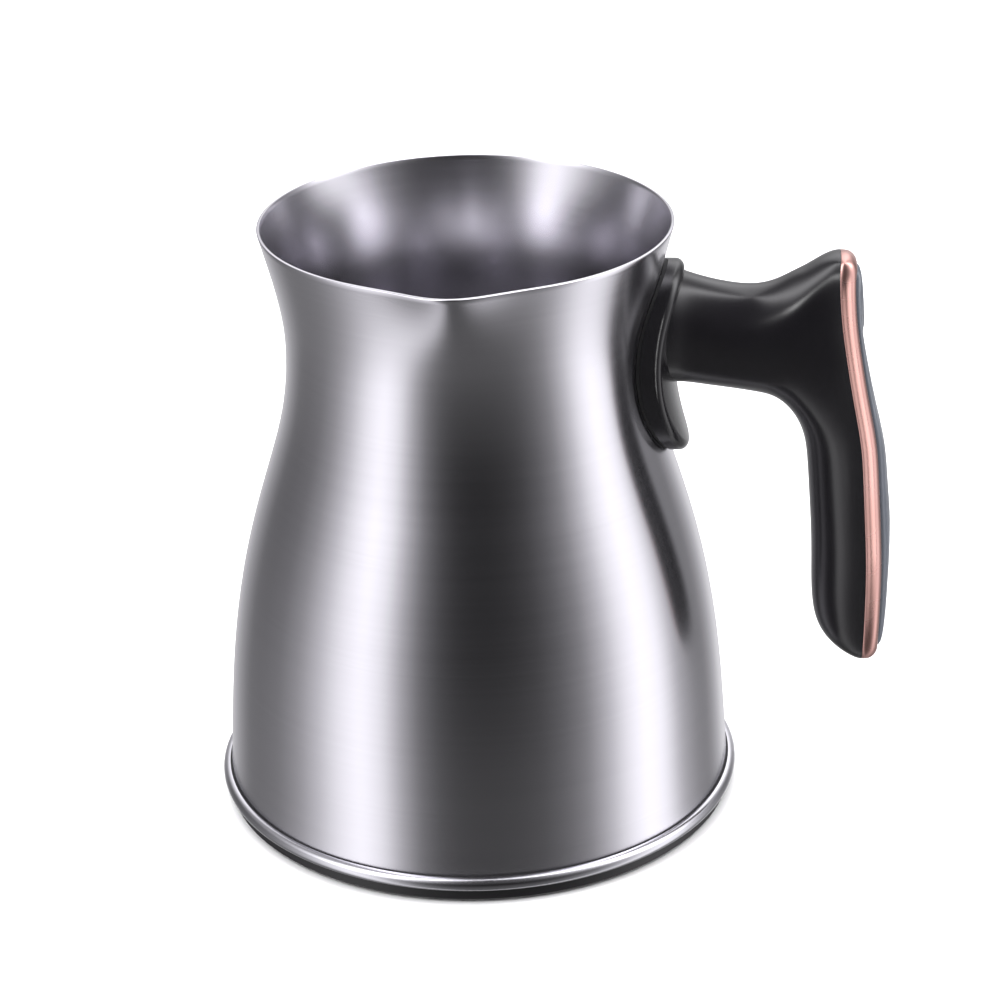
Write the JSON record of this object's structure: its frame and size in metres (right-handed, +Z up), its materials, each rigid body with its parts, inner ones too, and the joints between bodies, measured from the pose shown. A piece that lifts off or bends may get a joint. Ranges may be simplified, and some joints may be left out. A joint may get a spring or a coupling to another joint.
{
  "type": "milk frother",
  "caption": "Waisted stainless milk frothing jug with a pouring lip, a black side handle with a metallic trim band, and a lift-out magnetic whisk.",
  "frame": {"origin": "where the jug's axis meets the surface that its foot ring stands on", "axes": "+Z up along the jug's axis, +X towards the handle, -Y towards the pouring lip"},
  "size_m": [0.1686, 0.1314, 0.15],
  "materials": {
    "brushed_steel": "fine brushing around the jug",
    "satin_steel": "satin, nearly polished",
    "turned_steel": "turned and welded",
    "ferritic_steel": "mill finish",
    "spring_steel": "bright drawn wire",
    "nickel_magnets": "nickel plated",
    "aluminium_plate": "rolled",
    "zinc_screws": "zinc plated",
    "black_silicone": "matte moulded",
    "grey_silicone": "matte moulded",
    "black_base_plastic": "fine moulded texture",
    "white_ptfe": "turned, waxy",
    "black_whisk_plastic": "moulded",
    "gloss_black": "high gloss moulded",
    "rose_gold": "rose gold plating on moulded plastic",
    "dark_grey_panel": "semi-gloss moulded"
  },
  "bodies": {
    "jug": {"jug_body": "brushed_steel", "jug_floor": "brushed_steel", "heat_spreader": "aluminium_plate", "induction_plate": "ferritic_steel", "whisk_spindle": "turned_steel", "base_ring": "satin_steel", "base_gasket": "black_silicone", "base_cover": "black_base_plastic", "foot_ring": "grey_silicone", "base_standoffs": "turned_steel", "base_screws": "zinc_screws", "handle_bracket": "turned_steel", "handle_bosses": "turned_steel", "handle_gasket": "black_silicone", "handle_pad": "gloss_black", "handle_shell": "gloss_black", "handle_trim": "rose_gold", "handle_back_panel": "dark_grey_panel", "handle_core": "ferritic_steel", "handle_washers": "zinc_screws", "handle_screws": "zinc_screws"},
    "whisk_bearing": {"whisk_bush": "white_ptfe"},
    "whisk": {"whisk_hub": "black_whisk_plastic", "drive_magnets": "nickel_magnets", "magnet_cap": "black_whisk_plastic", "whisk_coil": "spring_steel", "whisk_knob": "black_whisk_plastic"}
  },
  "joints": [
    {"name": "whisk_lift", "type": "slide", "parent": "jug", "child": "whisk_bearing", "axis": [0, 0, 1], "range_m": [0, 0.15]},
    {"name": "whisk_spin", "type": "hinge", "parent": "whisk_bearing", "child": "whisk", "pos_m": [0, 0, 0.02], "axis": [0, 0, 1], "continuous": true}
  ]
}
